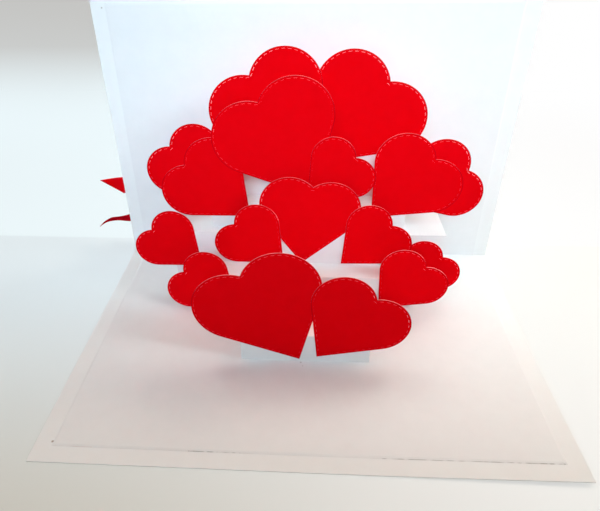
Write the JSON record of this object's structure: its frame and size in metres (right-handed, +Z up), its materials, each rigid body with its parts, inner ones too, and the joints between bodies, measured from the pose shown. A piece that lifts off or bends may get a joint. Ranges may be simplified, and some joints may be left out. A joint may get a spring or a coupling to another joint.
{
  "type": "pop up card",
  "caption": "Folded white greeting card standing open at a right angle, with stepped paper boxes inside that carry overlapping red hearts, and a red ribbon bow on its outer face.",
  "frame": {"origin": "middle of the underside of the half that lies on the table", "axes": "+X along the fold to the viewer's right, +Y from the viewer towards the upright half, +Z up"},
  "size_m": [0.2298, 0.1575, 0.147],
  "materials": {
    "cover_card": "matte",
    "liner_paper": "matte",
    "heart_card": "matte",
    "ribbon": "satin"
  },
  "bodies": {
    "root": {"cover": "cover_card", "liner": "liner_paper", "heart_front_left": "heart_card", "heart_front_right": "heart_card", "heart_low_left": "heart_card", "heart_low_right": "heart_card", "heart_centre": "heart_card", "heart_centre_left": "heart_card", "heart_centre_right": "heart_card", "heart_side_left": "heart_card", "heart_side_right": "heart_card", "heart_wing_left": "heart_card", "heart_wing_right": "heart_card", "heart_wing_left_back": "heart_card", "heart_wing_right_back": "heart_card", "heart_top_front": "heart_card", "heart_top_small": "heart_card", "heart_top_right": "heart_card", "heart_top_left": "heart_card", "ribbon_bow": "ribbon"}
  },
  "joints": []
}
